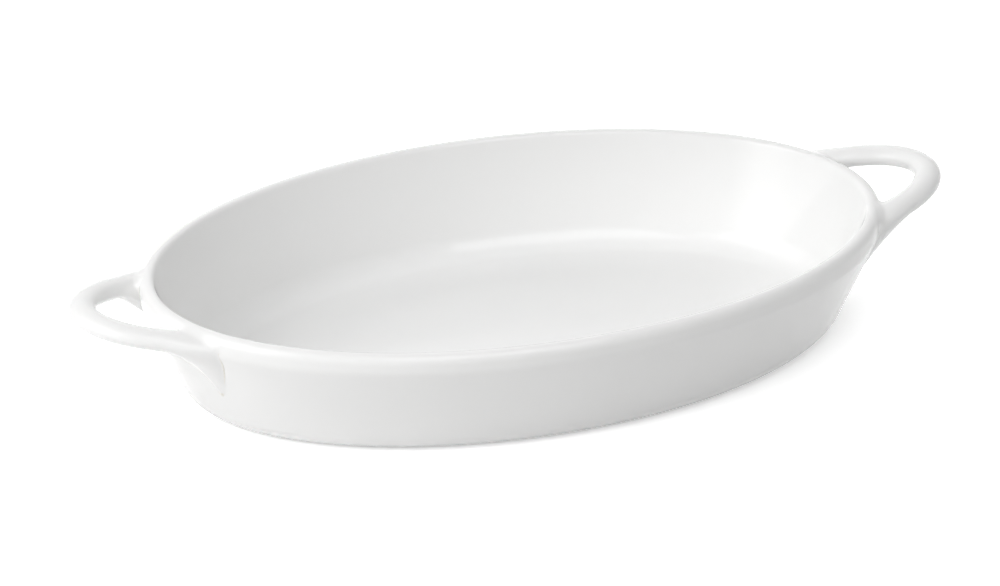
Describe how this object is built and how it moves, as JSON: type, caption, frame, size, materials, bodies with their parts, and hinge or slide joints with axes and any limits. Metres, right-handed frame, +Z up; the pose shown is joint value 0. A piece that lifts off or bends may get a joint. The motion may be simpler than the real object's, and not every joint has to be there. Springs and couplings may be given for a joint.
{
  "type": "gratin dish",
  "caption": "Oval gratin dish in white glazed porcelain with flared walls, a thick rounded lip, a bare foot ring and a finger loop at each end, for baking and serving.",
  "frame": {"origin": "on the table under the middle of the dish", "axes": "+X along the dish towards the right handle in the picture, +Y across it away from the viewer, +Z up"},
  "size_m": [0.3674, 0.2006, 0.0516],
  "materials": {
    "biscuit": "fired clay, bare only on the standing face of the foot",
    "slip": "fired slip, hidden under the handles' roots",
    "glaze": "glossy white glaze"
  },
  "bodies": {
    "root": {"dish_body": "biscuit", "inner_glaze": "glaze", "outer_glaze": "glaze", "underside_glaze": "glaze", "left_handle": "biscuit", "right_handle": "biscuit", "left_front_slip": "slip", "left_back_slip": "slip", "right_front_slip": "slip", "right_back_slip": "slip", "left_handle_glaze": "glaze", "right_handle_glaze": "glaze"}
  },
  "joints": []
}
